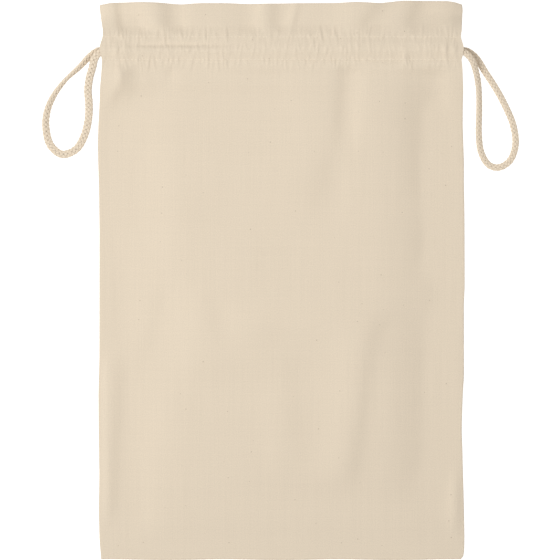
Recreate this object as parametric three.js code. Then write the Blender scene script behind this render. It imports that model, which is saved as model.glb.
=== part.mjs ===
// Fabric gift sack with a drawn cord channel, lying flat and empty on its back.
// Frame: +X to the sack's right, +Y towards its mouth, +Z up. Origin under its middle. Millimetres.
import * as THREE from 'three';

// ---------------------------------------------------------------- driving dimensions
const sackWidth = 300;          // side seam to side seam, laid flat
const sackHeight = 456.8;       // bottom seam to the folded top edge
const headerDepth = 28.6;       // frill above the upper stitch row
const channelDepth = 18.5;      // between the two stitch rows
const hemBelowRow = 4;          // turned-in cloth that goes on below the lower row
const clothThickness = 0.5;
const layerGap = 0.3;           // between cloth layers that lie on each other
const cordWidth = 5.6;          // flat tubular braid, across its face
const cordThickness = 3.6;
const cordClearance = 0.3;      // around the cord, in its channel
const cordAboveRow = 7;         // cord's centre line above the lower stitch row
const joinLength = 16;          // sewn join of the cord's two ends
const lyingGap = 0.2;           // under the cord where it lies on the surface
const mouthGap = 5;             // way in between the front and back channels
const seamWidth = 8;            // seam allowance that is turned inside
const seamThickness = 1;
const headerSeamSet = 9.5;      // header seam starts this far above the upper row
const threadWidth = 0.6;
const threadThickness = 0.45;
const threadGap = 0.15;         // thread to the cloth it is sewn on

// Shape of the lying cloth
const backLift = 0.9;           // hemmed end of the back panel, off the surface
const backLiftRun = 40;         // length over which it lifts
const sideRun = 36;             // width over which the front comes down to a side seam
const bottomRun = 48;           // length over which it comes down to the bottom seam
const slitRunBelow = 45;        // length below a cord slit where the side seam closes the sack
const slitRunAbove = 18;        // length above it
const rowNotch = 2.8;           // stitch rows draw the sides in by this much
const rowNotchSpread = 4;
const cornerTaper = 0.8;        // bottom corners, narrower on each side
const cornerTaperRun = 30;
const channelRamp = 2.2;        // cloth rises off a stitch row, over the cord, in this distance
const rampStart = 0.4;

// How finely the cloth is divided
const clothColumns = 22;
const bodyRows = 13;
const rampRows = 4;
const plateauRows = 3;
const headerRows = 4;
const foldSteps = 4;
const seamRows = 20;
const cordSides = 10;

// ---------------------------------------------------------------- worked out from them
const halfWidth = sackWidth / 2;
const topY = sackHeight / 2;
const bottomY = -topY;
const upperRowY = topY - headerDepth;
const lowerRowY = upperRowY - channelDepth;
const hemEndY = lowerRowY - hemBelowRow;
const cordY = lowerRowY + cordAboveRow;

const layerPitch = clothThickness + layerGap;
const foldRadius = layerPitch / 2;
const foldY = topY - foldRadius - clothThickness / 2;
const cavity = cordThickness + 2 * cordClearance;
const channelRise = cavity - layerGap;

const backChannelTop = backLift + 2 * clothThickness + cavity;
const frontFacingUnder = backChannelTop + mouthGap;
const frontRowZ = frontFacingUnder + clothThickness / 2 + layerPitch;
const backCordZ = backLift + clothThickness + cordClearance + cordThickness / 2;
const frontCordZ = frontFacingUnder + clothThickness + cordClearance + cordThickness / 2;

// ---------------------------------------------------------------- colours
const calico = { color: 0xe2d4bd, roughness: 0.92, metalness: 0 };
const thread = { color: 0xeadfca, roughness: 0.8, metalness: 0 };
const cordCotton = { color: 0xddcfb5, roughness: 0.9, metalness: 0 };

const sack = new THREE.Group();

function addPiece(parent, name, geometry, look) {
  const piece = new THREE.Mesh(geometry, new THREE.MeshStandardMaterial(look));
  piece.name = name;
  parent.add(piece);
  return piece;
}

function smoothStep(t) {
  const k = THREE.MathUtils.clamp(t, 0, 1);
  return k * k * (3 - 2 * k);
}

// ---------------------------------------------------------------- shape of the cloth
// Half the sack's width at a height: drawn in at both stitch rows and at the bottom corners.
function halfWidthAt(y) {
  const atRow = (rowY) => Math.exp(-0.5 * ((y - rowY) / rowNotchSpread) ** 2);
  const taper = cornerTaper * (1 - smoothStep((y - bottomY) / cornerTaperRun));
  return halfWidth - rowNotch * (atRow(upperRowY) + atRow(lowerRowY)) - taper;
}

// How far the channel's outer cloth stands off its stitch rows, over the cord.
function channelBulge(y) {
  const up = smoothStep((y - lowerRowY - rampStart) / channelRamp);
  const down = smoothStep((upperRowY - rampStart - y) / channelRamp);
  return channelRise * Math.min(up, down);
}

function backLiftAt(y) {
  return backLift * smoothStep((y - (hemEndY - backLiftRun)) / backLiftRun);
}

// Middle of the front cloth's thickness, without the bulge over the cord.
function frontMiddle(x, y) {
  const layersInside = y > cordY ? 2 * layerPitch : 0;
  const seamStack = clothThickness * 1.5 + 2 * layerGap + seamThickness + layersInside;
  const closedZ = backLiftAt(y) + seamStack;
  const fromSide = smoothStep((halfWidthAt(y) - Math.abs(x)) / sideRun);
  const fromBottom = smoothStep((y - bottomY) / bottomRun);
  const belowSlit = smoothStep((y - (hemEndY - slitRunBelow)) / slitRunBelow);
  const aboveSlit = smoothStep((upperRowY + slitRunAbove - y) / slitRunAbove);
  const open = fromSide * fromBottom;
  const held = Math.min(belowSlit, aboveSlit);
  return closedZ + (frontRowZ - closedZ) * (open + (1 - open) * held);
}

// ---------------------------------------------------------------- panels
function spread(from, to, steps) {
  return Array.from({ length: steps }, (_, i) => from + ((to - from) * (i + 1)) / steps);
}

// Heights at which a panel is divided between its hem end and its fold.
function channelHeights() {
  const rampTop = lowerRowY + rampStart + channelRamp;
  const rampBack = upperRowY - rampStart - channelRamp;
  return [
    ...spread(hemEndY, lowerRowY + rampStart, 2),
    ...spread(lowerRowY + rampStart, rampTop, rampRows),
    ...spread(rampTop, rampBack, plateauRows),
    ...spread(rampBack, upperRowY - rampStart, rampRows),
    ...spread(upperRowY - rampStart, foldY, headerRows),
  ];
}

// Stations along a panel's cloth: up its face, round the folded top edge and down the hem.
const hemHeights = channelHeights();
const stations = [
  { y: bottomY, hem: false },
  ...spread(bottomY, hemEndY, bodyRows).map((y) => ({ y, hem: false })),
  ...hemHeights.map((y) => ({ y, hem: false })),
  ...spread(0, Math.PI, foldSteps).slice(0, -1).map((turn) => ({ turn })),
  ...[...hemHeights].reverse().map((y) => ({ y, hem: true })),
  { y: hemEndY, hem: true },
];

// A panel is a flat box of cloth, bent along its stations. side is +1 for the front, -1 for the back.
function panelGeometry(side) {
  const faceZ = (x, y) => (side > 0
    ? frontMiddle(x, y) + channelBulge(y)
    : backLiftAt(y) + clothThickness / 2);
  const hemZ = (x, y) => (side > 0
    ? frontMiddle(x, y) - layerPitch
    : faceZ(x, y) + layerPitch + channelBulge(y));
  const middle = (x, station) => {
    if (station.turn === undefined) {
      const z = station.hem ? hemZ(x, station.y) : faceZ(x, station.y);
      return new THREE.Vector2(station.y, z);
    }
    const y = foldY + foldRadius * Math.sin(station.turn);
    const z = faceZ(x, foldY) - side * foldRadius * (1 - Math.cos(station.turn));
    return new THREE.Vector2(y, z);
  };

  const rows = stations.length - 1;
  const geometry = new THREE.BoxGeometry(2, 1, 1, clothColumns, rows, 1);
  const position = geometry.attributes.position;
  for (let i = 0; i < position.count; i += 1) {
    const row = Math.round((position.getY(i) + 0.5) * rows);
    const station = stations[row];
    const widthY = station.y ?? topY;
    const x = position.getX(i) * halfWidthAt(widthY);
    const here = middle(x, station);
    const before = middle(x, stations[Math.max(row - 1, 0)]);
    const after = middle(x, stations[Math.min(row + 1, rows)]);
    const along = after.clone().sub(before).normalize();
    const offset = Math.sign(position.getZ(i)) * clothThickness / 2;
    position.setXYZ(i, x, here.x - along.y * offset * side, here.y + along.x * offset * side);
  }
  if (side < 0) {
    turnInsideOut(geometry);
  }
  return geometry;
}

function turnInsideOut(geometry) {
  const order = geometry.index;
  for (let i = 0; i < order.count; i += 3) {
    const first = order.getX(i);
    order.setX(i, order.getX(i + 1));
    order.setX(i + 1, first);
  }
}

addPiece(sack, 'front_panel', panelGeometry(1), calico);
addPiece(sack, 'back_panel', panelGeometry(-1), calico);

// ---------------------------------------------------------------- seams inside the edges
// A seam along one side: a strip between the two panels, from one height to another.
function sideSeamGeometry(side, fromY, toY, layersUnder) {
  const geometry = new THREE.BoxGeometry(1, 1, 1, 1, seamRows, 1);
  const position = geometry.attributes.position;
  const baseZ = clothThickness + layerGap + layersUnder * layerPitch;
  for (let i = 0; i < position.count; i += 1) {
    const y = fromY + (toY - fromY) * (position.getY(i) + 0.5);
    const edge = halfWidthAt(y) - layerGap - seamWidth / 2;
    const x = side * edge + position.getX(i) * seamWidth;
    const z = backLiftAt(y) + baseZ + (position.getZ(i) + 0.5) * seamThickness;
    position.setXYZ(i, x, y, z);
  }
  return geometry;
}

const headerSeamStart = upperRowY + headerSeamSet;
for (const [side, word] of [[-1, 'left'], [1, 'right']]) {
  const lower = sideSeamGeometry(side, bottomY + layerGap, hemEndY - layerGap, 0);
  addPiece(sack, `${word}_side_seam`, lower, calico);
  const upper = sideSeamGeometry(side, headerSeamStart, foldY, 1);
  addPiece(sack, `${word}_header_seam`, upper, calico);
}

const bottomSeamLength = 2 * (halfWidthAt(bottomY) - seamWidth - 2 * layerGap);
const bottomSeam = addPiece(
  sack,
  'bottom_seam',
  new THREE.BoxGeometry(bottomSeamLength, seamWidth, seamThickness),
  calico,
);
bottomSeam.position.set(
  0,
  bottomY + layerGap + seamWidth / 2,
  clothThickness + layerGap + seamThickness / 2,
);

// ---------------------------------------------------------------- stitch rows
for (const [rowY, word] of [[upperRowY, 'upper'], [lowerRowY, 'lower']]) {
  const length = 2 * (halfWidthAt(rowY) - threadWidth);
  const frontZ = frontRowZ + clothThickness / 2 + threadGap + threadThickness / 2;
  const backZ = backLift - threadGap - threadThickness / 2;
  for (const [rowZ, panel] of [[frontZ, 'front'], [backZ, 'back']]) {
    const row = new THREE.BoxGeometry(length, threadWidth, threadThickness);
    addPiece(sack, `${panel}_${word}_stitching`, row, thread).position.set(0, rowY, rowZ);
  }
}

// ---------------------------------------------------------------- drawcord
const cordSection = new THREE.Shape(
  new THREE.EllipseCurve(0, 0, cordThickness / 2, cordWidth / 2, 0, 2 * Math.PI)
    .getPoints(cordSides)
    .slice(0, -1),
);

function cordGeometry(points, steps) {
  const route = new THREE.CatmullRomCurve3(points, false, 'centripetal');
  return new THREE.ExtrudeGeometry(cordSection, { steps, extrudePath: route });
}

// The two loops lie on the surface. Each route starts in one channel and ends in the other.
// x and y are counted from the middle of the side's cord slit, z from the surface.
const slitInside = 14;          // a loop's ends, inside the slit
const lyingZ = cordThickness / 2 + lyingGap;
const leftRoute = [
  [slitInside, 0, backCordZ],
  [9, 0, backCordZ],
  [0.5, 1.2, backCordZ],
  [-7, -3.5, 3],
  [-16.4, -13.2, 2.3],
  [-27.4, -23.3, lyingZ],
  [-37, -36, lyingZ],
  [-42.6, -49, lyingZ],
  [-43.8, -62, lyingZ],
  [-40, -77, lyingZ],
  [-30.5, -84.6, lyingZ],
  [-19, -80.5, lyingZ],
  [-12.2, -69.5, lyingZ],
  [-8.7, -55.2, 2.2],
  [-8.3, -42, 3.2],
  [-9, -32.5, 5],
  [-7.6, -22, 8],
  [-5, -13.2, 11],
  [-3, -6, 13],
  [2, -0.8, frontCordZ],
  [9, 0, frontCordZ],
  [slitInside, 0, frontCordZ],
];
const rightRoute = [
  [-slitInside, 0, frontCordZ],
  [-9, 0, frontCordZ],
  [-1, -0.4, frontCordZ],
  [6, -6.5, 12.6],
  [10.6, -19, 8.4],
  [12.6, -33, 4.4],
  [12.9, -50, 2.3],
  [12.6, -67, lyingZ],
  [14.6, -83, lyingZ],
  [21, -93.4, lyingZ],
  [29, -95.4, lyingZ],
  [38, -90, lyingZ],
  [42.8, -77, lyingZ],
  [41, -61, lyingZ],
  [35, -46, lyingZ],
  [27, -31, lyingZ],
  [18.4, -17.6, 2.2],
  [9.6, -4.4, 3],
  [1.5, 0.8, backCordZ],
  [-9, 0, backCordZ],
  [-slitInside, 0, backCordZ],
];
const loopSteps = 36;
const runEndX = halfWidth - slitInside - layerGap;

function addRun(name, fromX, toX, z) {
  const ends = [new THREE.Vector3(fromX, cordY, z), new THREE.Vector3(toX, cordY, z)];
  addPiece(sack, name, cordGeometry(ends, 1), cordCotton);
}

for (const [side, word, route] of [[-1, 'left', leftRoute], [1, 'right', rightRoute]]) {
  const points = route.map(([x, y, z]) => (
    new THREE.Vector3(side * halfWidth + x, cordY + y, z)));
  addPiece(sack, `${word}_cord_loop`, cordGeometry(points, loopSteps), cordCotton);
  addRun(`${word}_cord_front_run`, side * layerGap / 2, side * runEndX, frontCordZ);
}

// The cord's two ends meet in the back channel, sewn end to end inside a short join.
addRun('left_cord_back_run', -layerGap / 2, -runEndX, backCordZ);
addRun('cord_join', layerGap / 2, joinLength, backCordZ);
addRun('right_cord_back_run', joinLength + layerGap, runEndX, backCordZ);

export default sack;
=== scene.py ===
# %% [markdown]
# # A calico gift sack with a braided drawstring
#
# The sack is two rectangles of unbleached cotton calico sewn into a bag.
# The top edge of each is turned in deeply and sewn down twice, which leaves a frilled header
# and, under it, a channel. An endless braided cord runs through both channels and comes out of
# a slit at each side as a loop: pulling both loops gathers the mouth.
# Here the empty sack lies on its back. X is its width, Y points to its mouth and Z is up.
#
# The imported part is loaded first. It fixes where every piece goes, and its box is kept.

# %% Load the frame
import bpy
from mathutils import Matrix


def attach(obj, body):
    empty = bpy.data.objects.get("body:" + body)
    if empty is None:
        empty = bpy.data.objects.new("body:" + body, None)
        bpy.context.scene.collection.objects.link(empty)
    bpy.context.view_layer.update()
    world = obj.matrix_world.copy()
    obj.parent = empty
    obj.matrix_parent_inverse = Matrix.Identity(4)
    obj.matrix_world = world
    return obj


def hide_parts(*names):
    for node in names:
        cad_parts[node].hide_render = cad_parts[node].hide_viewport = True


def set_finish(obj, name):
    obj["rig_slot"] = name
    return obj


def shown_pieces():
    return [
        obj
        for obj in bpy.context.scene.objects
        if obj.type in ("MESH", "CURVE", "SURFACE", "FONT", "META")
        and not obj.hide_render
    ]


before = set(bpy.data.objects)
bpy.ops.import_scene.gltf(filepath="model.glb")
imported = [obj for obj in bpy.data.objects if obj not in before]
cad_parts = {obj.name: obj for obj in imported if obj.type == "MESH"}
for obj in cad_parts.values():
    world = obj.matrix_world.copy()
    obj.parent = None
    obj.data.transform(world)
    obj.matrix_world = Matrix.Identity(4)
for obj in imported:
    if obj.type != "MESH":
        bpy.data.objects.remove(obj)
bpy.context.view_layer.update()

# %% Tools for the bench
import math

import bmesh
import bpy
import numpy as np
from mathutils import Matrix

MM = 0.001  # everything is drawn in millimetres and becomes metres at the end


def ease(t):
    """0 below 0, 1 above 1, and a soft S between."""
    t = np.clip(t, 0, 1)
    return t * t * (3 - 2 * t)


def near(value, centre, spread):
    """1 at the centre, falling away on both sides like a soft hill."""
    return np.exp(-(((value - centre) / spread) ** 2) / 2)


def soft_line(knots, spread):
    """A rounded line through (place, value) knots, as a function of place."""
    places, values = np.array(knots, float).T
    step = 0.25
    fine = np.arange(places[0] - 4 * spread, places[-1] + 4 * spread, step)
    kernel = near(np.arange(-3 * spread, 3 * spread + step, step), 0, spread)
    rounded = np.convolve(np.pad(np.interp(fine, places, values), len(kernel), "edge"),
                          kernel / kernel.sum(), "same")[len(kernel):-len(kernel)]
    return lambda place: np.interp(place, fine, rounded)


# %% [markdown]
# ## The camera
#
# The sack is seen from straight above, with its mouth at the top of the picture. A long lens
# from far away keeps the raised channel and the flat seams at the same scale.

# %% Camera
LENS = 300
SENSOR = 36
VIEW_WIDTH = 0.4609
SEAM_HEIGHT = 0.003

camera_data = bpy.data.cameras.new("camera")
camera_data.lens = LENS
camera_data.sensor_width = SENSOR
camera = bpy.data.objects.new("camera", camera_data)
camera.location = (-0.001, 0.00025, VIEW_WIDTH * LENS / SENSOR + SEAM_HEIGHT)
bpy.context.scene.collection.objects.link(camera)
bpy.context.scene.camera = camera
bpy.context.scene.view_settings.view_transform = "Standard"
print("camera height:", round(camera.location.z, 3), "m")

# %% [markdown]
# ## The cord's route
#
# The cord leaves the slit at each side, drops to the table and lies there in one loose loop.
# Its line is the one the solid cord follows: points measured from the slit, with a smooth
# curve through them. The curve is then cut into even steps, because a braid repeats at an even
# distance along its cord.

# %% The two loops, as points from the slit
HALF_WIDTH = 150
CORD_Y = 188.3
FRONT_CORD_Z = 13.7  # the middle of the cord in the front channel
BACK_CORD_Z = 3.5  # and in the back channel

LEFT_ROUTE = [
    (14, 0, 3.5), (9, 0, 3.5), (0.5, 1.2, 3.5), (-7, -3.5, 3), (-16.4, -13.2, 2.3),
    (-27.4, -23.3, 2), (-37, -36, 2), (-42.6, -49, 2), (-43.8, -62, 2), (-40, -77, 2),
    (-30.5, -84.6, 2), (-19, -80.5, 2), (-12.2, -69.5, 2), (-8.7, -55.2, 2.2),
    (-8.3, -42, 3.2), (-9, -32.5, 5), (-7.6, -22, 8), (-5, -13.2, 11), (-3, -6, 13),
    (2, -0.8, 13.7), (9, 0, 13.7), (14, 0, 13.7),
]
RIGHT_ROUTE = [
    (-14, 0, 13.7), (-9, 0, 13.7), (-1, -0.4, 13.7), (6, -6.5, 12.6), (10.6, -19, 8.4),
    (12.6, -33, 4.4), (12.9, -50, 2.3), (12.6, -67, 2), (14.6, -83, 2), (21, -93.4, 2),
    (29, -95.4, 2), (38, -90, 2), (42.8, -77, 2), (41, -61, 2), (35, -46, 2), (27, -31, 2),
    (18.4, -17.6, 2.2), (9.6, -4.4, 3), (1.5, 0.8, 3.5), (-9, 0, 3.5), (-14, 0, 3.5),
]


def from_slit(route, side):
    """Route points measured from the left (-1) or right (1) slit, as places in the frame."""
    return np.array(route, float) + (side * HALF_WIDTH, CORD_Y, 0)


def smooth_route(points, step):
    """A curve through the points (centripetal Catmull-Rom), cut into even steps."""
    points = np.array(points, float)
    points = np.vstack([2 * points[0] - points[1], points, 2 * points[-1] - points[-2]])
    dense = []
    for a, b, c, d in zip(points, points[1:], points[2:], points[3:]):
        knots = np.cumsum([0, *(np.linalg.norm(q - p) ** 0.5 for p, q in ((a, b), (b, c), (c, d)))])
        t = np.linspace(knots[1], knots[2], 30, endpoint=False)[:, None]
        part = [((knots[i + 1] - t) * p + (t - knots[i]) * q) / (knots[i + 1] - knots[i])
                for i, (p, q) in enumerate(((a, b), (b, c), (c, d)))]
        part = [((knots[i + 2] - t) * part[i] + (t - knots[i]) * part[i + 1])
                / (knots[i + 2] - knots[i]) for i in range(2)]
        dense.append(((knots[2] - t) * part[0] + (t - knots[1]) * part[1]) / (knots[2] - knots[1]))
    dense = np.vstack([*dense, points[-2]])
    along = np.append(0, np.cumsum(np.linalg.norm(np.diff(dense, axis=0), axis=1)))
    even = np.linspace(0, along[-1], round(along[-1] / step) + 1)
    return np.array([np.interp(even, along, dense[:, axis]) for axis in range(3)]).T


def length_of(line):
    return float(np.linalg.norm(np.diff(line, axis=0), axis=1).sum())


# %% [markdown]
# ## The braid
#
# The cord is a tubular braid of eight soft strands, four winding each way. A strand passes over
# the next one it meets and under the one after, which gives the small dark holes in columns.
# The cord is soft. Inside the channels it is held to 5.6 mm by 3.6 mm, and outside it spreads.
#
# A plain tube with a bump pattern would look like a hose, so every strand is real. One strand
# starts as a flat grid, long one way and a few squares wide the other. Each point is moved on to
# the strand's own winding path, and the two long edges meet and are merged. Every point also
# remembers how near the outside of the braid it is, so the finish can paint shade deep in the braid.

# %% Sizes of the braid
HELD_WIDTH = 5.6
HELD_THICKNESS = 3.6
LEFT_LOOSE = (6.8, 3.7)  # width and thickness of the left loop, which has spread more
RIGHT_LOOSE = (6.0, 3.7)
BRAID_PITCH = 14.8  # one full turn of a strand
STRANDS = 8
STRAND_HALF_WIDTH = 1.14
STRAND_HALF_HEIGHT = 0.56
WEAVE_DEPTH = 0.42  # how far a strand rises and dips as it goes over and under
YARN_GROOVE = 0.3  # a strand is two yarns side by side, with a groove between
ROUND_STRAND = 12


# %% Rings of points along a strand
def unit(vectors):
    """The same directions, each one long."""
    return vectors / np.linalg.norm(vectors, axis=1)[:, None]


def rings_along(centre, out, half_width, half_height, groove):
    """A ring of points at each step of a strand's middle line. out is away from the cord."""
    path = unit(np.gradient(centre, axis=0))
    across = unit(np.cross(path, out))
    out = np.cross(across, path)
    round_it = np.arange(ROUND_STRAND + 1) * math.tau / ROUND_STRAND
    flat = np.cos(round_it) * half_width
    tall = np.sin(round_it) * half_height * (1 - groove * near(np.cos(round_it), 0, 0.25))
    return (centre[:, None] + across[:, None] * flat[None, :, None]
            + out[:, None] * tall[None, :, None])


def strand_rings(line, turn, width, thickness, number):
    """Rings of one strand, and how near the outside of the braid each point is, from 0 to 1."""
    along = np.append(0, np.cumsum(np.linalg.norm(np.diff(line, axis=0), axis=1)))
    forward = unit(np.gradient(line, axis=0))
    up = unit(np.array([0, 0, 1]) - forward * forward[:, 2:])
    side = np.cross(forward, up)
    cos, sin = np.cos(turn)[:, None], np.sin(turn)[:, None]
    side, up = side * cos + up * sin, up * cos - side * sin

    way = 1 if number % 2 == 0 else -1
    angle = way * math.tau * along / BRAID_PITCH + (number // 2) * math.pi / 2
    over = way * np.cos(4 * math.tau * along / BRAID_PITCH)
    wide = width / 2 - STRAND_HALF_HEIGHT - WEAVE_DEPTH
    high = thickness / 2 - STRAND_HALF_HEIGHT - WEAVE_DEPTH
    out = unit(side * (np.cos(angle) * high)[:, None] + up * (np.sin(angle) * wide)[:, None])
    centre = line + side * (wide * np.cos(angle))[:, None] + up * (high * np.sin(angle))[:, None]
    centre = centre + out * (WEAVE_DEPTH * over)[:, None]
    rings = rings_along(centre, out, STRAND_HALF_WIDTH, STRAND_HALF_HEIGHT, YARN_GROOVE)
    from_line = rings - line[:, None]
    sideways = (from_line * side[:, None]).sum(axis=2) / (width / 2)[:, None]
    upwards = (from_line * up[:, None]).sum(axis=2) / (thickness / 2)[:, None]
    # how near the outside each point is; the cord's finish paints shade into the points deep in the braid
    return rings, ease((np.hypot(sideways, upwards) - 0.5) / 0.42)


# %% Bend flat grids into tubes, and finish a piece
def finished(mesh_maker, name, body, replaced):
    """Turn a bmesh into a smooth named piece that rides on a body and stands for CAD nodes."""
    for face in mesh_maker.faces:
        face.smooth = True
    mesh = bpy.data.meshes.new(name)
    mesh_maker.to_mesh(mesh)
    mesh_maker.free()
    piece = bpy.data.objects.new(name, mesh)
    bpy.context.scene.collection.objects.link(piece)
    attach(piece, body)
    if replaced:
        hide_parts(*replaced)
    print(f"{name}: {len(mesh.polygons)} faces")
    return piece


def bent_tubes(name, tubes, length, body, replaced):
    """Tubes bent from flat grids. Each is its rings in millimetres and a crest value per point."""
    steps = len(tubes[0][0]) - 1
    bm = bmesh.new()
    uv = bm.loops.layers.uv.new("along_strand")
    crest = bm.verts.layers.float.new("crest")
    for number in range(len(tubes)):
        bmesh.ops.create_grid(bm, x_segments=steps, y_segments=ROUND_STRAND, size=0.5,
                              matrix=Matrix.Translation((0.5, 0.5, number)))
    for face in bm.faces:
        for loop in face.loops:
            place = loop.vert.co
            loop[uv].uv = (place.x * length * MM, place.z + place.y)
    long_edges = []
    for vert in bm.verts:
        step, spot = round(vert.co.x * steps), round(vert.co.y * ROUND_STRAND)
        rings, crests = tubes[round(vert.co.z)]
        if spot in (0, ROUND_STRAND):
            long_edges.append(vert)
        vert[crest] = crests[step, spot]
        vert.co = rings[step, spot] * MM
    bmesh.ops.remove_doubles(bm, verts=long_edges, dist=1e-7)
    open_ends = [e for e in bm.edges if e.is_boundary]
    bmesh.ops.holes_fill(bm, edges=open_ends, sides=0)
    bm.normal_update()
    bmesh.ops.recalc_face_normals(bm, faces=bm.faces)
    return finished(bm, name, body, replaced)


def braid(name, line, turn, width, thickness, body, replaced):
    """A braided cord along a line of even steps. turn, width and thickness are one per step."""
    strands = [strand_rings(line, turn, width, thickness, number) for number in range(STRANDS)]
    piece = bent_tubes(name, strands, length_of(line), body, [replaced])
    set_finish(piece, "cord_cotton")
    return piece


# %% [markdown]
# ## The loops and the hidden runs
#
# Most of the cord lies flat, wide side up. The back strand of the left loop has rolled on to
# its edge near the slit, and the front strand of the right loop is half turned, so both look
# thinner there. Where a cord stands on its edge its middle is higher above the table.

# %% Turn of the cord along each loop, in degrees at a share of its length
FINE_STEP = BRAID_PITCH / 30
LEFT_TURN = soft_line([(0, 0), (0.05, 20), (0.10, 82), (0.24, 76), (0.36, 15), (0.5, 0), (1, 0)], 0.01)
RIGHT_TURN = soft_line([(0, 0), (0.08, 30), (0.30, 42), (0.42, 10), (0.6, 0), (1, 0)], 0.01)
HELD_END = 12  # the length at each end that is still in the slit


def lay_loop(name, route, side, turn_at, loose, body, replaced):
    """A free loop, raised where the cord stands on its edge, and spreading once it is out."""
    line = smooth_route(from_slit(route, side), FINE_STEP)
    share = np.linspace(0, 1, len(line))
    from_end = length_of(line) * np.minimum(share, 1 - share)
    spread = ease((from_end - HELD_END) / 8)
    width = HELD_WIDTH + (loose[0] - HELD_WIDTH) * spread
    thickness = HELD_THICKNESS + (loose[1] - HELD_THICKNESS) * spread
    turn = np.radians(turn_at(share))
    half_height = np.hypot(width / 2 * np.sin(turn), thickness / 2 * np.cos(turn))
    line[:, 2] = np.maximum(line[:, 2], half_height + 0.15)
    loop = braid(name, line, turn, width, thickness, body, replaced)
    print(name, "is", round(length_of(line), 1), "mm long")


lay_loop("left_loop_braid", LEFT_ROUTE, -1, LEFT_TURN, LEFT_LOOSE, "left_cord", "left_cord_loop")
lay_loop("right_loop_braid", RIGHT_ROUTE, 1, RIGHT_TURN, RIGHT_LOOSE, "right_cord", "right_cord_loop")

# %% Straight runs in the two channels, and the sewn join
COARSE_STEP = BRAID_PITCH / 16
HALF_GAP = 0.15  # the two halves of the cord meet in the middle with a hair's gap
LOOP_END = 14  # how far a loop's ends reach into the channel
RUN_END = HALF_WIDTH - LOOP_END - 2 * HALF_GAP
JOIN_END = 16
RIGHT_RUN_START = JOIN_END + 2 * HALF_GAP


def lay_run(name, start, end, height, body, replaced):
    """A straight stretch of the same braid inside a channel."""
    points = [(start, CORD_Y, height), ((start + end) / 2, CORD_Y, height), (end, CORD_Y, height)]
    line = smooth_route(points, COARSE_STEP)
    even = np.ones(len(line))
    braid(name, line, even * 0, even * HELD_WIDTH, even * HELD_THICKNESS, body, replaced)


for name, start, end, height, body, replaced in (
    ("left_front_run_braid", -HALF_GAP, -RUN_END, FRONT_CORD_Z, "left_cord", "left_cord_front_run"),
    ("right_front_run_braid", HALF_GAP, RUN_END, FRONT_CORD_Z, "right_cord", "right_cord_front_run"),
    ("left_back_run_braid", -HALF_GAP, -RUN_END, BACK_CORD_Z, "left_cord", "left_cord_back_run"),
    ("right_back_run_braid", RIGHT_RUN_START, RUN_END, BACK_CORD_Z, "right_cord",
     "right_cord_back_run"),
    ("join_braid", HALF_GAP, JOIN_END, BACK_CORD_Z, "right_cord", "cord_join"),
):
    lay_run(name, start, end, height, body, replaced)

# %% [markdown]
# The two cut ends of the cord meet in the back channel. They are butted and whipped: a thread is
# wound round and round the join. The thread is one more tube, bent along a flattened spiral.

# %% Thread whipped round the join
THREAD = 0.45
WHIP_START = 2.5
WHIP_TURNS = 22
WHIP_STEP = 0.5  # how far one turn is from the next
WHIP_BITE = 0.12  # how deep the thread sinks into the cord

turns = np.linspace(0, WHIP_TURNS, WHIP_TURNS * 20 + 1)
round_cord = np.stack([turns * 0, np.cos(math.tau * turns) * (HELD_WIDTH / 2 - WHIP_BITE),
                       np.sin(math.tau * turns) * (HELD_THICKNESS / 2 - WHIP_BITE)], axis=1)
spiral = round_cord + (WHIP_START, CORD_Y, BACK_CORD_Z) + np.outer(turns * WHIP_STEP, (1, 0, 0))
whip_rings = rings_along(spiral, unit(round_cord), THREAD / 2, THREAD / 2, 0)
whipping = bent_tubes("join_whipping", [(whip_rings, np.ones(whip_rings.shape[:2]))],
                      length_of(spiral), "right_cord", [])
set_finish(whipping, "sewing_thread")

# %% [markdown]
# ## Shape of the cloth
#
# A sack like this is drawn as a tailor draws it: first the flat cut, as a grid of squares in the
# cloth's own width and length, then every point of the cut is moved to where it lies. The front
# goes up from the bottom seam, over the channel, up the header, round the fold at the mouth, and
# down again on the inside as the hem. The flat cut is kept as the UV map, so the weave follows the
# cloth round every fold.
#
# These lines and levels say how high the front cloth lies.

# %% Lines and levels
BOTTOM_Y = -229.9
FOLD_Y = 227.4
UPPER_ROW = 199.8
LOWER_ROW = 181.3
HEM_END = 177.3
CLOTH = 0.46  # thickness of the calico
LAYER_STEP = 0.6  # from the middle of one cloth to the middle of the next one on it
ROW_HEIGHT = 13.95
OVER_CORD = 2.05  # how much the channel rises over the cord
UNDER_CORD = 1.95
SEAM_Z = 1.65
HEADER_SEAM_Z = 3.2
EDGE_ROLL = 0.4

front_level = soft_line([(-228, 7.6), (-200, 8.4), (-120, 9.2), (0, 9.8), (110, 9.6), (140, 10.6),
                         (170, 13.2), (178, 13.9), (182, ROW_HEIGHT), (200, ROW_HEIGHT),
                         (213, 13.4), (229, 12.9)], 3)
header_top = soft_line([(-150, 226.5), (-139, 228.3), (-118, 228.8), (-100, 228.1), (-82, 226.7),
                        (-67, 227.8), (-46, 227.8), (-27, 227.1), (15, 227.8), (45, 227.9), (62, 228.8),
                        (81, 227.8), (99, 229.9), (137, 229.8), (144, 228.6), (149, 226.9)], 1.5)
left_edge = soft_line([(-229, 148.3), (-224, 148.6), (-214, 149.5), (-190, 150.1), (-160, 149.6),
                       (-125, 150.2), (-92, 150.4), (-64, 149.6), (40, 149.5), (72, 149.9),
                       (98, 150.6), (113, 150.9), (128, 150.4), (143, 149.5), (158, 148.9),
                       (172, 147.5), (181, 146.9), (186, 148.5), (191, 149.3), (196, 147.8),
                       (201, 146.3), (206, 146.5), (214, 147.9), (226, 149.3)], 1.2)
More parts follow.
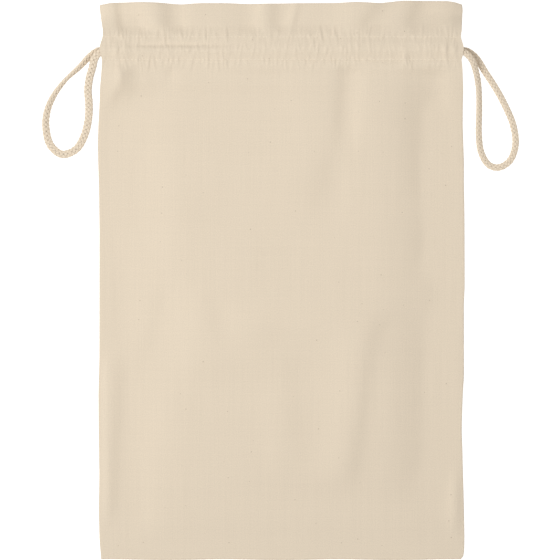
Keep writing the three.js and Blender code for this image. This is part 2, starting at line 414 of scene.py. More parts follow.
right_edge = soft_line([(-230, 147.3), (-227.5, 149.8), (-224.5, 150.4), (-212, 150.7), (-183, 150.2),
                        (-153, 149.3), (-138, 149.0), (-124, 148.4), (-109, 148.8), (-94, 149.3),
                        (-79, 150.3), (-20, 150.2), (-5, 150.9), (54, 150.7), (84, 150.2), (98, 150.3),
                        (113, 149.7), (128, 149.2), (143, 149.3), (158, 149.5), (173, 148.8),
                        (178, 148.4), (181.5, 147.9), (186, 149.5), (191, 149.9), (195, 148.8),
                        (199.8, 147.3), (205, 148.2), (212, 148.5), (224, 149.2), (228, 148.5)], 0.9)
print("channel:", round(UPPER_ROW - LOWER_ROW, 1), "mm between its stitch rows")


def edge_of(y, side):
    """How far the cloth's side edge is from the middle: it is drawn in at both stitch rows."""
    return left_edge(y) if side < 0 else right_edge(y)


def nearest_edge(x, y):
    """The same, for the side that each x is on."""
    return np.where(x < 0, edge_of(y, -1), edge_of(y, 1))


def quarter(distance, radius):
    """A rounded edge, from 0 at the edge to 1 at the radius."""
    return np.sqrt(1 - (1 - np.clip(distance / radius, 0, 1)) ** 2)


def gentle_over(y):
    """1 over the cord, and an easy fall to 0 at both stitch rows."""
    return np.where(y > CORD_Y, 1 - ease((y - CORD_Y) / (UPPER_ROW - CORD_Y)),
                    1 - ease((CORD_Y - y) / (CORD_Y - LOWER_ROW)))


def over_cord(y, x):
    """The channel's rise over the cord. It is tighter on the left, with a crease over the cord."""
    gentle = gentle_over(y)
    tight = np.where(y > CORD_Y, 1 - ease((y - CORD_Y - 1.0) / 5.0), gentle)
    share = 0.7 * ease((x + 134) / 26) * (1 - ease((x + 70) / 60))
    return tight * share + gentle * (1 - share)


def crease(y, x):
    """A fine valley where the cloth is tucked against the upper side of the cord."""
    along = ease((x + 132) / 24) * (1 - 0.85 * ease((x + 66) / 32)) * (1 - ease((x - 30) / 60))
    return 0.75 * near(y, 192.6, 1.4) * along


# %% [markdown]
# ## Folds and puckers
#
# The sewing draws the cloth together at the two rows. From there soft folds run up the header
# and down the body, and hundreds of short fine puckers cross the channel. A fold could be drawn
# as a hill, but soft cloth is easier to describe by its slopes: here it climbs to the right, there
# it falls. Each band below is one such slope, with its place, its two ends, how it drifts to the
# side on its way up, how wide it is and how steep. A climb and a fall side by side make a fold.

# %% Slopes of the front cloth: x, lowest y, highest y, drift per 100 mm, width, steepness
MOUTH = 250
HEADER_SLOPES = [
    (-134, 198, MOUTH, -13, 2.8, -0.48), (-127, 200, MOUTH, 0, 2.5, 0.16),
    (-112, 200, MOUTH, -45, 5, 0.42), (-95, 200, MOUTH, -8, 6, -0.48),
    (-79, 200, MOUTH, 0, 3.5, 0.30), (-36, 200, MOUTH, 0, 9, -0.12),
    (-19.5, 200, MOUTH, 0, 4, 0.40), (-7, 200, MOUTH, 0, 5, -0.32),
    (5.5, 200, MOUTH, 35, 2.6, 0.38), (12, 200, MOUTH, 20, 1.8, -0.28),
    (50, 200, MOUTH, 20, 7, 0.18), (71, 200, MOUTH, 60, 5.5, -0.27),
    (90, 200, MOUTH, 60, 6, 0.22), (107, 200, MOUTH, 40, 4.5, -0.24),
    (126, 200, MOUTH, 0, 8, 0.20), (142.5, 200, MOUTH, 20, 3.5, -0.14),
]
BODY_SLOPES = [
    (-136.5, 118, 181, 48, 3.4, -0.28), (-143, 135, 178, 0, 4, 0.27), (-135, 152, 181, 4, 1.8, 0.75),
    (-131, 156, 181, 0, 1.8, -0.32), (-124, 134, 181, 8, 4, -0.24),
    (-94, 158, 181, 20, 2.2, -0.22), (-88, 148, 181, 10, 2.4, 0.18),
    (-100, 10, 130, -5, 8, 0.09), (-123, 25, 125, 0, 5, -0.09), (-65, 30, 90, 30, 14, -0.07),
    (8, 85, 178, 0, 12, 0.07), (47, 100, 182, 6, 4.2, -0.27), (35, 55, 128, 22, 8, -0.12),
    (62, 95, 181, 6, 5, 0.26), (52, 25, 115, 8, 5, 0.11), (30, 35, 105, 20, 6, -0.07),
    (106, 55, 182, -3, 6, -0.10), (117, 0, 182, 0, 7, -0.09),
    (112, -15, 60, 0, 9, -0.05), (136, -20, 178, -2, 6, 0.32), (135, -205, 0, 0, 7, 0.20),
    (-137, -70, 20, 0, 3.5, -0.12), (-120, -65, 25, 0, 7, 0.07), (-106, -85, 10, 25, 5, -0.15),
    (-80, -90, 15, 0, 12, 0.18), (-57, -65, 5, -15, 5, -0.12), (-38, -65, -5, -8, 7, 0.12),
    (-20, -15, 40, 0, 3, -0.10), (-8, -65, -20, 0, 8, -0.07), (10, -165, -45, -10, 8, -0.10),
    (-9, -170, -65, 0, 5, 0.09), (45, -175, -30, 8, 11, 0.15), (68, -180, -15, 14, 6, -0.25),
    (86, -55, -15, 60, 3, -0.12), (85, -180, -55, 0, 6, 0.05), (107, -185, -10, 0, 11, -0.07),
    (139, -224, -140, 0, 3, 0.20), (147, -224, -146, 0, 2.2, -0.42),
    (-136, -212, -50, 4, 6, -0.32), (-146.5, -212, -50, 0, 2.5, 0.55),
    (-109, -218, -80, 0, 8, 0.16), (-127, -227, -202, -10, 2, -0.18), (-121, -227, -202, -10, 2.4, 0.15),
]
CHANNEL_SLOPES = [
    (-137.5, 174, 200, 0, 1.6, 0.42), (-133.5, 174, 200, 0, 1.6, -0.42), (-129.5, 176, 198, 0, 1.2, 0.26),
    (-125.5, 176, 198, 0, 1.2, -0.26), (132.5, 176, 197, -6, 1.2, 0.34), (136.5, 178, 204, 8, 1.2, -0.34),
    (140.5, 180, 196, 0, 1.2, 0.32), (143.5, 180, 200, 0, 1.2, -0.30), (99.5, 172, 196, 5, 1.6, 0.20),
    (104, 172, 196, 5, 1.6, -0.22),
]
ROW_FADE = 12  # a slope starts quickly at a stitch row
OPEN_FADE = 32  # and dies away slowly on the plain cloth
print(len(HEADER_SLOPES + CHANNEL_SLOPES + BODY_SLOPES), "slopes")


def folds(x, y):
    """The height that all the slopes add up to at a place on the front."""
    total = np.zeros_like(x)
    for place, low, high, drift, width, steepness in HEADER_SLOPES + CHANNEL_SLOPES + BODY_SLOPES:
        fade_in = ROW_FADE if 185 < low < 210 else min(OPEN_FADE, (high - low) / 2)
        fade_out = ROW_FADE if 175 < high < 185 else min(OPEN_FADE, (high - low) / 2)
        held = ease((y - low) / fade_in) * ease((high - y) / fade_out)
        middle = place + drift * (y - (max(low, BOTTOM_Y) + min(high, -BOTTOM_Y)) / 2) / 100
        reach = 1.25 * width
        climb = np.tanh((x - middle) / reach) - x / HALF_WIDTH  # nothing is left of it at the edges
        total = total + steepness * reach * climb * held
    return total


# %% Short puckers at the stitch rows
PUCKER_ZONES = [(-146, -130, 2.6, 1.6), (-130, -42, 2.2, 2.0), (-42, 20, 2.3, 1.2),
                (20, 76, 2.2, 1.7), (76, 103, 2.6, 0.9), (103, 146, 2.4, 1.4)]
chance = np.random.default_rng(7)
puckers = []
for zone_start, zone_end, spacing, strength in PUCKER_ZONES:
    for x in np.arange(zone_start, zone_end, spacing):
        for row in (UPPER_ROW + 1.5, CORD_Y + 2, LOWER_ROW - 2):
            puckers.append((x + chance.uniform(-0.45, 0.45) * spacing,
                            row + chance.uniform(-2, 2), chance.uniform(1.6, 4.8),
                            chance.uniform(0.55, 0.95), chance.uniform(-0.3, 0.3),
                            strength * chance.uniform(0.04, 0.36)))
print(len(puckers), "puckers")


def pucker_height(x, y):
    """The sum of the short puckers at a place on the front."""
    total = np.zeros_like(x)
    close = (y > LOWER_ROW - 22) & (y < UPPER_ROW + 22)
    for place, middle, reach, width, lean, height in puckers:
        here = close & (np.abs(x - place) < 6)
        across = x[here] - lean * (y[here] - middle)
        total[here] += height * near(across, place, width) * near(y[here], middle, reach)
    return total


# %% [markdown]
# ## Height of the front cloth
#
# At the side seams the cloth rolls over a small round edge and rises to the belly of the sack.
# At the slits there is no seam, and the edge climbs to the channel instead.

# %% The outer front cloth
STITCH_PITCH = 3.25
STITCH_GROOVE = 0.6  # how wide a row's groove is
STITCH_PULL = 0.12  # how deep the thread pulls the cloth down
SLIT_RISE = 45  # below the slit, the seam's edge climbs over this length
EDGE_BEND = 1.2  # the radius of the rolled edge
HEADER_START = 190  # here the seam under the front cloth starts to rise into the header
HEADER_FADE = 20  # and it has the header's height this much further up
SOFT_LANDING = 0.35  # how softly a fold comes down on to the seam


def from_edges(x, y):
    """Distances to the nearest side edge and to the bottom edge, never below 0."""
    return np.clip(nearest_edge(x, y) - np.abs(x), 0, None), np.clip(y - BOTTOM_Y, 0, None)


def front_height(x, y):
    """Height of the middle of the outer front cloth, in millimetres."""
    to_side, to_bottom = from_edges(x, y)
    level = front_level(y)
    header = ease((y - HEADER_START) / HEADER_FADE)
    seam = SEAM_Z + (HEADER_SEAM_Z - SEAM_Z) * header
    below_slit = ease((y - HEM_END + SLIT_RISE) / SLIT_RISE)
    open_slit = below_slit * (1 - ease((y - UPPER_ROW) / HEADER_FADE))
    roll = EDGE_ROLL * quarter(to_side, EDGE_BEND) * quarter(to_bottom, EDGE_BEND)
    edge = seam + roll + (level - seam - roll) * open_slit
    fast = 0.05 + np.where(x < 0, 0.45, 0.16) * header
    rise = fast * (1 - np.exp(-to_side / 5.5)) + (1 - fast) * ease((to_side - 2) / 72)
    climb = 0.1 * (1 - np.exp(-to_bottom / 5)) + 0.9 * ease((to_bottom - 2) / 90)
    height = edge + (level - edge) * rise * climb
    channel = ((y > LOWER_ROW) & (y < UPPER_ROW)) * OVER_CORD * over_cord(y, x) - crease(y, x)
    free = (1 - np.exp(-to_side / 2.5)) * (1 - np.exp(-to_bottom / 8))
    groove = sum(near(y, row, STITCH_GROOVE) for row in (UPPER_ROW, LOWER_ROW))
    pull = groove * STITCH_PULL * (1 - 0.5 * np.cos(math.tau * x / STITCH_PITCH))
    height = height + channel + folds(x, y) * free + pucker_height(x, y) - pull
    lowest = seam + roll + 0.05
    return lowest + np.logaddexp(0, (height - lowest) / SOFT_LANDING) * SOFT_LANDING


# %% [markdown]
# The hem lies under the outer cloth and follows it, one cloth lower. Between the rows it dips
# under the cord instead of rising over it, and lies smooth there.

# %% The hem inside the front
def front_hem_height(x, y):
    """Height of the middle of the turned-in front hem."""
    inside = (y > LOWER_ROW) & (y < UPPER_ROW)
    smooth = gentle_over(y) * (folds(x, y) + pucker_height(x, y))
    channel = inside * (OVER_CORD * over_cord(y, x) + UNDER_CORD * gentle_over(y) + smooth)
    return front_height(x, y) + crease(y, x) - channel - LAYER_STEP


# %% [markdown]
# ## Cutting and laying a cloth
#
# The flat cut starts as one grid. Its rows are close together where the cloth bends sharply, at
# the stitch rows and the fold, and far apart on the plain body. Between the body and the mouth the
# squares are also cut lengthwise, because the puckers are narrower than the body's squares.

# %% Rows and columns of the flat cut
HEM_LENGTH = FOLD_Y - HEM_END
FOLD_LENGTH = math.pi * LAYER_STEP / 2
UP_LENGTH = FOLD_Y - BOTTOM_Y
MOUTH_LINE = 228.0  # the header's waves at the mouth are above and below this
HEM_INSET = 0.5  # a hem is this much narrower at each side than the cloth outside it


def spaced(stops):
    """Places along a line, from (end, how many steps to it) stops, starting at 0."""
    places = [0.0]
    for end, steps in stops:
        places.extend(np.linspace(places[-1], end, steps + 1)[1:])
    return np.array(places)


def row_at(y):
    return y - BOTTOM_Y


rows = spaced([(3, 6), (30, 7), (row_at(148), 56), (row_at(172), 9), (row_at(LOWER_ROW - 1), 8),
               (row_at(LOWER_ROW + 1), 4), (row_at(UPPER_ROW - 1), 18), (row_at(UPPER_ROW + 1), 4),
               (row_at(211), 10), (UP_LENGTH, 11), (UP_LENGTH + FOLD_LENGTH, 4),
               (UP_LENGTH + FOLD_LENGTH + HEM_LENGTH, 25)])
side_columns = [0.3, 0.8, 1.5, 2.6, 4.2, 6.4]
columns = np.array([0, *side_columns, *np.linspace(8.8, 2 * HALF_WIDTH - 8.8, 116),
                    *[2 * HALF_WIDTH - c for c in reversed(side_columns)], 2 * HALF_WIDTH])
print(len(rows), "rows and", len(columns), "columns")


# %% Cut the grid, keep the flat cut as UV, and lay it
def cut_and_lay(name, lay, replaced, fine_rows):
    """A cloth from its flat cut. lay gives x, y and z for arrays of width and length places."""
    bm = bmesh.new()
    uv = bm.loops.layers.uv.new("flat_cut")
    bmesh.ops.create_grid(bm, x_segments=len(columns) - 1, y_segments=len(rows) - 1, size=0.5,
                          matrix=Matrix.Translation((0.5, 0.5, 0)))
    for vert in bm.verts:
        vert.co.x = columns[round(vert.co.x * (len(columns) - 1))]
        vert.co.y = rows[round(vert.co.y * (len(rows) - 1))]
    low, high, cuts = fine_rows
    across = [e for e in bm.edges if abs(e.verts[0].co.y - e.verts[1].co.y) < 1e-6
              and low <= e.verts[0].co.y <= high and e.calc_length() > 1.5]
    bmesh.ops.subdivide_edges(bm, edges=across, cuts=cuts)
    for face in bm.faces:
        for loop in face.loops:
            loop[uv].uv = (loop.vert.co.x * MM, loop.vert.co.y * MM)
    width_place = np.array([v.co.x for v in bm.verts])
    length_place = np.array([v.co.y for v in bm.verts])
    for vert, place in zip(bm.verts, lay(width_place, length_place)):
        vert.co = place * MM
    cloth = finished(bm, name, "sack", [replaced])
    wall = cloth.modifiers.new("cloth thickness", "SOLIDIFY")
    wall.thickness = CLOTH * MM
    wall.offset = 0
    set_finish(cloth, "calico")
    return cloth


def side_by_layer(length_place):
    """Where each row of the cut is: its y before the mouth's waves, and 0 outside to 1 inside."""
    turn = np.clip((length_place - UP_LENGTH) / FOLD_LENGTH, 0, 1)
    y = np.where(length_place < UP_LENGTH, BOTTOM_Y + length_place,
                 FOLD_Y + LAYER_STEP / 2 * np.sin(math.pi * turn)
                 - np.clip(length_place - UP_LENGTH - FOLD_LENGTH, 0, None))
    return y, (1 - np.cos(math.pi * turn)) / 2


def bottom_wave(x, y):
    """The bottom seam is not quite straight: it waves a little, and the cloth near it too."""
    return -0.35 * np.cos(x / 15) * np.exp((BOTTOM_Y - y) / 8)


def across_width(width_place, y, shorter):
    """The x of each point: even across the middle, and drawn in near the side edges."""
    x = width_place - HALF_WIDTH
    edge = nearest_edge(x, y) - shorter
    pulled = (HALF_WIDTH - edge) * np.exp(-(HALF_WIDTH - np.abs(x)) / 14)
    return x - np.sign(x) * pulled


def laid(outer_height, hem_height, shorter, mouth_line):
    """How a cloth lies, as a function from places on its flat cut to places in the sack."""
    def lay(width_place, length_place):
        y, inner = side_by_layer(length_place)
        x = across_width(width_place, y, shorter + HEM_INSET * (inner > 0.5))
        outer, hem = outer_height(x, y), hem_height(x, y)
        z = outer + (hem - outer) * inner
        header = ease((y - UPPER_ROW - 2) / (FOLD_Y - UPPER_ROW - 2))
        y = y + (header_top(x) - mouth_line) * header
        y = y + bottom_wave(x, y)
        return np.stack([x, y, z], axis=1)
    return lay


front_cloth = cut_and_lay("front_cloth", laid(front_height, front_hem_height, 0, MOUTH_LINE),
                          "front_panel", (row_at(168), UP_LENGTH + FOLD_LENGTH, 3))

# %% [markdown]
# ## The back cloth
#
# The back is cut the same and lies on the table. It rises a little at its stitch rows, where two
# cloths and the threads are under the cord, and its hem arches over the cord of the back channel.

# %% Lay the back cloth
BACK_Z = 0.27
BACK_LIFT = 0.9
BACK_OVER_CORD = 4.4
BACK_EDGE_ROLL = 0.55
BACK_INSET = 0.15  # the back stays just inside the front at the sides
BACK_DROP = 0.6  # and its mouth just below the front's
BACK_DIP = 0.5  # how much the outer cloth sags under the cord


def back_height(x, y):
    """Height of the middle of the outer back cloth."""
    to_side, to_bottom = from_edges(x, y)
    roll = BACK_EDGE_ROLL * (1 - quarter(to_side, 1.6) * quarter(to_bottom, 1.6))
    lift = BACK_LIFT * ease((y - 139) / 38) * (1 - 0.85 * ease((y - UPPER_ROW - 2) / 22))
    channel = ((y > LOWER_ROW) & (y < UPPER_ROW)) * -BACK_DIP * gentle_over(y)
    wave = 0.5 * (1 - np.cos(x / 13 + np.sin(x / 31))) * ease((y - 206) / 16)
    return BACK_Z + roll + lift + channel + wave * (1 - np.exp(-to_side / 8))


def back_hem_height(x, y):
    """Height of the middle of the back hem, which arches over the back cord."""
    channel = ((y > LOWER_ROW) & (y < UPPER_ROW)) * (BACK_DIP + BACK_OVER_CORD)
    return back_height(x, y) + LAYER_STEP + channel * gentle_over(y)


back_cloth = cut_and_lay(
    "back_cloth", laid(back_height, back_hem_height, BACK_INSET, MOUTH_LINE + BACK_DROP),
    "back_panel", (row_at(176), row_at(UPPER_ROW + 6), 1))

# %% [markdown]
# ## Stitching
#
# Each row is lockstitch, about eight stitches to the inch. One stitch is a short soft piece of
# thread that dives into the cloth at both ends. It starts as a small ball, which is stretched
# and bent, and the same stitch is repeated along the row on both sides of the cloth.

# %% One row of stitches
STITCH_LENGTH = 2.7
BACK_TACK = 9  # the last stretch of a row is sewn twice
STITCH_LIFT = CLOTH / 2 + THREAD * 0.22  # from a cloth's middle to its stitches


def one_stitch(bow, length=STITCH_LENGTH):
    """A bent capsule of thread at the origin. bow is 1 on top of a cloth and -1 under it."""
    bm = bmesh.new()
    bmesh.ops.create_uvsphere(bm, u_segments=7, v_segments=6, radius=0.5,
                              matrix=Matrix.Rotation(math.pi / 2, 4, "Y"))
    for vert in bm.verts:
        share = vert.co.x * 2
        vert.co.x *= length
        vert.co.y *= THREAD * (1.15 - 0.25 * share * share)
        vert.co.z = vert.co.z * THREAD - bow * 0.2 * share * share
    stitch = bpy.data.meshes.new("stitch")
    bm.to_mesh(stitch)
    bm.free()
    return stitch


def add_stitch(bm, stitch, place, heading):
    """Copy a stitch to its place, turned to its heading."""
    copy = stitch.copy()
    copy.transform(Matrix.Translation(place) @ Matrix.Rotation(heading, 4, "Z"))
    bm.from_mesh(copy)
    bpy.data.meshes.remove(copy)


top_stitch, under_stitch = one_stitch(1), one_stitch(-1)


def sew_row(name, row, side_top, side_under, replaced, seed):
    """A lockstitch row across the sack. The two heights are of the cloths' middles."""
    bm = bmesh.new()
    chance = np.random.default_rng(seed)
    half = edge_of(np.array(row), 1) - 3
    places = np.arange(-half, half, STITCH_PITCH)
    tacks = places[(places > half - BACK_TACK)] + STITCH_PITCH / 2
    for x, y_shift in [(x, 0) for x in places] + [(x, -0.45) for x in tacks]:
        y = row + y_shift + chance.uniform(-0.06, 0.06)
        heading = chance.uniform(-0.05, 0.05)
        spot = np.array([x]), np.array([y])
        add_stitch(bm, top_stitch, (x, y, side_top(*spot)[0] + STITCH_LIFT), heading)
        add_stitch(bm, under_stitch, (x, y, side_under(*spot)[0] - STITCH_LIFT), heading)
    bmesh.ops.scale(bm, vec=(MM, MM, MM), verts=bm.verts)
    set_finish(finished(bm, name, "sack", [replaced]), "sewing_thread")


for name, row, top, under, seed in (
    ("front_upper", UPPER_ROW, front_height, front_hem_height, 11),
    ("front_lower", LOWER_ROW, front_height, front_hem_height, 12),
    ("back_upper", UPPER_ROW, back_hem_height, back_height, 13),
    ("back_lower", LOWER_ROW, back_hem_height, back_height, 14),
):
    sew_row(f"{name}_thread", row, top, under, f"{name}_stitching", seed)

# %% [markdown]
# ## Seam allowances
#
# The sack is sewn inside out and turned, so the edges of front and back end up inside. Each
# allowance is a flat strip of both cloths, 8 mm wide, with an overlock thread looped round its
# raw edge. It starts as a cube, gets even cuts along its length, and is bent to follow its seam.

# %% Allowance strips
ALLOWANCE = 8
STRIP_THICKNESS = 0.8
STRIP_MIDDLE = 1.32  # the height of a strip's middle, between the front and the back
HEADER_STRIP_MIDDLE = 2.45
EDGE_INSET = 1.0  # how far a strip stays inside the sack's edge


def strip_along(name, start, end, place_at, replaced):
    """A strip from start to end along its seam. place_at gives the place of a point on it."""
    bm = bmesh.new()
    uv = bm.loops.layers.uv.new("flat_cut")
    bmesh.ops.create_cube(bm, size=1)
    lengthwise = [e for e in bm.edges if abs(e.verts[0].co.x - e.verts[1].co.x) > 0.5]
    cuts = round((end - start) / 6)
    bmesh.ops.subdivide_edges(bm, edges=lengthwise, cuts=cuts, use_grid_fill=True)
    corners = [e for e in bm.edges if abs(e.verts[0].co.x - e.verts[1].co.x) > 1e-6]
    bmesh.ops.bevel(bm, geom=corners, offset=0.3, offset_type="PERCENT", affect="EDGES",
                    segments=2, profile=0.5, material=-1)
    for face in bm.faces:
        for loop in face.loops:
            loop[uv].uv = (loop.vert.co.y * ALLOWANCE * MM, loop.vert.co.x * (end - start) * MM)
    for vert in bm.verts:
        along = start + (vert.co.x + 0.5) * (end - start)
        vert.co = np.array(place_at(along, (vert.co.y + 0.5) * ALLOWANCE,
                                    vert.co.z * STRIP_THICKNESS)) * MM
    bm.normal_update()
    bmesh.ops.recalc_face_normals(bm, faces=bm.faces)
    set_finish(finished(bm, name, "sack", [replaced]), "calico")


OVERLOCK_LENGTH = 3.2
OVERLOCK_PITCH = 2.6
loop_over, loop_under = one_stitch(1, OVERLOCK_LENGTH), one_stitch(-1, OVERLOCK_LENGTH)


def overlock_along(name, start, end, place_at):
    """Thread looped round the raw edge of a strip, one slanted stitch after another."""
    bm = bmesh.new()
    for along in np.arange(start + 2, end - 2, OVERLOCK_PITCH):
        for face_side, stitch in ((1, loop_over), (-1, loop_under)):
            inner = np.array(place_at(along, ALLOWANCE - 1.4, face_side * STRIP_THICKNESS / 2))
            before = np.array(place_at(along - 0.5, ALLOWANCE - 2.4, 0))
            after = np.array(place_at(along + 0.5, ALLOWANCE - 0.4, 0))
            way = after - before
            add_stitch(bm, stitch, inner, math.atan2(way[1], way[0]))
    bmesh.ops.scale(bm, vec=(MM, MM, MM), verts=bm.verts)
    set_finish(finished(bm, name, "sack", []), "sewing_thread")


def side_place(side, seam_middle):
    """Places on a side allowance: along is y, across goes inwards from the seam."""
    def place(along, across, up):
        edge = float(edge_of(np.array(along), side)) - EDGE_INSET
        return side * (edge - across), along, seam_middle(along) + up
    return place


def lifted_seam(along):
    return STRIP_MIDDLE + BACK_LIFT * float(ease((along - 139) / 38))


def header_seam(_along):
    return HEADER_STRIP_MIDDLE


def bottom_place(along, across, up):
    return along, BOTTOM_Y + EDGE_INSET + across, STRIP_MIDDLE + up


for name, start, end, place_at, replaced in (
    ("left_side", -218, 176, side_place(-1, lifted_seam), "left_side_seam"),
    ("right_side", -218, 176, side_place(1, lifted_seam), "right_side_seam"),
    ("left_header", 210, 226, side_place(-1, header_seam), "left_header_seam"),
    ("right_header", 210, 226, side_place(1, header_seam), "right_header_seam"),
    ("bottom", -146, 146, bottom_place, "bottom_seam"),
):
    strip_along(f"{name}_allowance", start, end, place_at, replaced)
    overlock_along(f"{name}_overlock", start, end, place_at)

# %% [markdown]
# ## Finishes: a small language for shaders
#
# A pattern is easier to read as a sum than as a web of nodes. The class below wraps a socket, so
# that `1 - mask` or `ridge * 0.3` adds the Math nodes by itself. Every other node comes from one
# method that takes the node's type, its settings and what goes into it.

# %% The socket class and the bench for one finish
class Wire:
    """A socket in a finish. Sums and products with numbers or other wires add Math nodes."""

    def __init__(self, finish, socket):
        self.finish = finish
        self.socket = socket

    def other(self, out):
        """Another output of the same node."""
        return Wire(self.finish, self.socket.node.outputs[out])

    def maths(self, operation, first, second):
        return self.finish.node("ShaderNodeMath", {"operation": operation}, {0: first, 1: second})

    def __add__(self, other):
        return self.maths("ADD", self, other)

    def __radd__(self, other):
        return self.maths("ADD", other, self)

    def __sub__(self, other):
        return self.maths("SUBTRACT", self, other)

    def __rsub__(self, other):
        return self.maths("SUBTRACT", other, self)

    def __mul__(self, other):
        return self.maths("MULTIPLY", self, other)

    def __rmul__(self, other):
        return self.maths("MULTIPLY", other, self)


class Finish:
    """A material being made, and the shader that it ends in."""

    def __init__(self, name):
        self.material = bpy.data.materials.new(name)
        self.material.use_nodes = True
        self.tree = self.material.node_tree
        self.shader = self.tree.nodes["Principled BSDF"]

    def node(self, kind, settings, feeds, out=0):
        """Add a node: its settings first, then the values or wires of its sockets."""
        node = self.tree.nodes.new(kind)
        for key, value in settings.items():
            if key == "stops":
                ramp = node.color_ramp
                for place, stop in enumerate(value):
                    element = ramp.elements[place] if place < 2 else ramp.elements.new(stop[0])
                    element.position = stop[0]
                    element.color = (stop[1], stop[1], stop[1], 1)
            else:
                setattr(node, key, value)
        for key, value in feeds.items():
            self.feed(node.inputs[key], value)
        return Wire(self, node.outputs[out])

    def feed(self, socket, value):
        if isinstance(value, Wire):
            self.tree.links.new(value.socket, socket)
        else:
            socket.default_value = value

    def mixed(self, share, first, second):
        """Mix two colours."""
        feeds = {0: share, 6: first, 7: second}
        return self.node("ShaderNodeMix", {"data_type": "RGBA"}, feeds, out=2)

    def ramp(self, value, *stops):
        return self.node("ShaderNodeValToRGB", {"stops": stops}, {0: value})

    def scaled(self, place, scale):
        return self.node("ShaderNodeMapping", {}, {"Vector": place, "Scale": scale})

    def noise(self, place, scale, detail, rough):
        feeds = {"Vector": place, "Scale": scale, "Detail": detail, "Roughness": rough}
        return self.node("ShaderNodeTexNoise", {}, feeds)

    def close(self, **feeds):
        """Set or link the shader's own sockets."""
        for key, value in feeds.items():
            self.feed(self.shader.inputs[key.replace("_", " ")], value)
        return self.material


# %% [markdown]
# ## Calico
#
# Calico is plain weave in unbleached cotton: one thread over, one under, about 24 threads to the
# centimetre one way and 21 the other. The yarn is uneven, so fine streaks run up the cloth along
# the warp and fainter ones run across. Dark specks of cotton seed are left in, some faint and some
# strong. The surface is matt, with a faint bloom of loose fibres.

# %% Make the calico
def rgb(red, green, blue):
    return (red, green, blue, 1)


WARP = 2400  # threads per metre
WEFT = 2150


def make_calico(name, tint):
    f = Finish(name)
    place = f.node("ShaderNodeUVMap", {"uv_map": "flat_cut"}, {})
    apart = f.node("ShaderNodeSeparateXYZ", {}, {0: place})
    across, along = apart, apart.other(1)

    def wave(value, per_metre):
        return f.node("ShaderNodeMath", {"operation": "SINE"}, {0: value * (math.pi * per_metre)})

    over = wave(across, WARP) * wave(along, WEFT)
    thread = f.node("ShaderNodeMath", {"operation": "ABSOLUTE"}, {0: over})
    warp_streak = f.noise(f.scaled(place, (1, 0.012, 1)), 900, 3.0, 0.6)
    weft_streak = f.noise(f.scaled(place, (0.015, 1, 1)), 700, 3.0, 0.6)
    mottle = f.noise(place, 22, 3.0, 0.55)
    grain = f.noise(place, 1100, 2.0, 0.5)
    tone = (warp_streak - 0.5) * 0.45 + (weft_streak - 0.5) * 0.24 + (mottle - 0.5) * 0.08
    tone = tone + (grain - 0.5) * 1.2 + thread * 0.04 + 0.48
    light = [min(1, c * 1.1) for c in tint]
    dark = [c * 0.9 for c in tint]
    colour = f.mixed(tone, rgb(*dark), rgb(*light))

    speck = f.node("ShaderNodeTexVoronoi", {"voronoi_dimensions": "2D"},
                   {"Vector": place, "Scale": 55.0})
    chosen = f.node("ShaderNodeSeparateXYZ", {}, {0: speck.other(1)})
    near_seed = f.ramp(speck, (0.012, 1.0), (0.032, 0.0))
    few = f.ramp(chosen, (0.66, 0.0), (0.67, 1.0))
    seed = near_seed * few * chosen.other(1)
    colour = f.mixed(seed * 0.6, colour, rgb(0.22, 0.15, 0.09))

    relief = over * 0.5 + (warp_streak - 0.5) * 1.6 + (weft_streak - 0.5) * 0.9 + seed * 0.8
    bump = f.node("ShaderNodeBump", {}, {"Height": relief, "Strength": 0.35, "Distance": 0.00012})
    return f.close(Base_Color=colour, Normal=bump, Roughness=0.92, Specular_IOR_Level=0.2,
                   Sheen_Weight=0.08, Sheen_Roughness=0.6)


calico = make_calico("calico", (0.70, 0.60, 0.47))

# %% [markdown]
# ## Cord cotton and sewing thread
#
# The cord's strands are two soft yarns each, lightly twisted and a touch yellower than the cloth.
# Down in the braid, in patches, shade is painted into their colour. The sewing thread is a hard
# three-ply in the cloth's own colour.

# %% Make the cord's cotton
def make_cord_cotton(name, tint):
    f = Finish(name)
    place = f.node("ShaderNodeUVMap", {"uv_map": "along_strand"}, {})
    apart = f.node("ShaderNodeSeparateXYZ", {}, {0: place})
    along, round_it = apart, apart.other(1)
    slant = along * (math.tau * 900) + round_it * (math.tau * 4)
    twist = f.node("ShaderNodeMath", {"operation": "SINE"}, {0: slant})
    fibre = f.noise(f.scaled(place, (700, 6, 1)), 1.0, 3.0, 0.6)
    patch = f.noise(f.scaled(place, (60, 1.1, 1)), 1.0, 2.0, 0.5)
    tone = twist * 0.1 + (fibre - 0.5) * 0.7 + (patch - 0.5) * 0.5 + 0.5
    light = [min(1, c * 1.08) for c in tint]
    dark = [c * 0.84 for c in tint]
    # painted shade: the colour goes darker, in patches, where a point lies deep in the braid, away from
    # its outside
    crest = f.node("ShaderNodeAttribute", {"attribute_name": "crest"}, {}, out=2)
    painted_shade_colour = [c * 0.42 for c in tint]
    painted_shade_share = (1 - crest) * f.ramp(patch, (0.38, 0.25), (0.66, 1.0))
    colour = f.mixed(painted_shade_share, f.mixed(tone, rgb(*dark), rgb(*light)), rgb(*painted_shade_colour))
    relief = twist * 0.6 + fibre * 1.2
    bump = f.node("ShaderNodeBump", {}, {"Height": relief, "Strength": 0.5, "Distance": 0.0001})
    return f.close(Base_Color=colour, Normal=bump, Roughness=0.9, Specular_IOR_Level=0.2,
                   Sheen_Weight=0.1, Sheen_Roughness=0.6)


cord_cotton = make_cord_cotton("cord_cotton", (0.81, 0.69, 0.54))


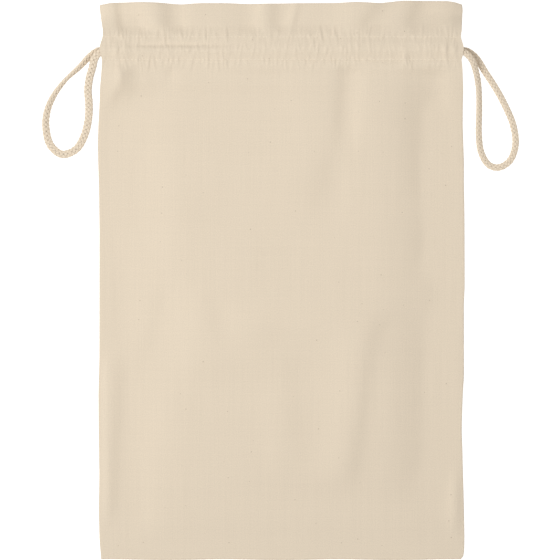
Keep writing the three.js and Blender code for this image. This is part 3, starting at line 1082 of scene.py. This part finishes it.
# %% Make the sewing thread
def make_thread(name, tint):
    f = Finish(name)
    place = f.node("ShaderNodeTexCoord", {}, {}, out=3)
    ply = f.noise(f.scaled(place, (1, 0.5, 1)), 2600, 2.0, 0.5)
    colour = f.mixed(ply, rgb(*[c * 0.9 for c in tint]), rgb(*[min(1, c * 1.06) for c in tint]))
    bump = f.node("ShaderNodeBump", {}, {"Height": ply, "Strength": 0.4, "Distance": 0.00008})
    return f.close(Base_Color=colour, Normal=bump, Roughness=0.75, Specular_IOR_Level=0.35)


sewing_thread = make_thread("sewing_thread", (0.80, 0.715, 0.585))

# %% Give every piece its finish
finish_of = {"calico": calico, "cord_cotton": cord_cotton, "sewing_thread": sewing_thread}
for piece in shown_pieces():
    slot_name = piece.get("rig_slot")
    if slot_name in finish_of:
        piece.data.materials.clear()
        piece.data.materials.append(finish_of[slot_name])
print("finishes:", sorted(finish_of))

# %% [markdown]

# %% [markdown]
# ## Table and light
#
# A white table that glows a little, as a light table does, so that no shadow greys it. One large
# soft panel stands far off to the left, a small one hangs over the mouth, which leaves the bottom
# of the sack a little darker, and the surround is an even white.

# %% Table
TABLE_HALF_WIDTH = 3
TABLE_Z = -0.0002  # a hair under the sack

bm = bmesh.new()
bmesh.ops.create_grid(bm, x_segments=1, y_segments=1, size=TABLE_HALF_WIDTH,
                      matrix=Matrix.Translation((0, 0, TABLE_Z)))
mesh = bpy.data.meshes.new("table")
bm.to_mesh(mesh)
bm.free()
table = bpy.data.objects.new("table", mesh)
bpy.context.scene.collection.objects.link(table)
white = Finish("white_table")
table.data.materials.append(white.close(Base_Color=rgb(0.5, 0.5, 0.5), Roughness=0.9,
                                        Specular_IOR_Level=0.1, Emission_Color=rgb(1, 1, 1),
                                        Emission_Strength=0.85))

# %% Light
def soft_panel(name, size, energy, place):
    """A square panel of light, turned to the middle of the sack."""
    data = bpy.data.lights.new(name, "AREA")
    data.shape = "SQUARE"
    data.size = size
    data.energy = energy
    panel = bpy.data.objects.new(name, data)
    panel.location = place
    panel.rotation_euler = (-panel.location).to_track_quat("-Z", "Y").to_euler()
    panel.visible_camera = False
    bpy.context.scene.collection.objects.link(panel)
    print(name, size, "m wide,", energy, "W")


soft_panel("left_panel", 1.6, 50, (-1.5, -0.05, 2.6))
soft_panel("mouth_panel", 0.4, 1.3, (0, 0.14, 0.8))
world = bpy.data.worlds.new("surround")
world.use_nodes = True
world.node_tree.nodes["Background"].inputs["Color"].default_value = rgb(1, 1, 1)
world.node_tree.nodes["Background"].inputs["Strength"].default_value = 0.47
bpy.context.scene.world = world
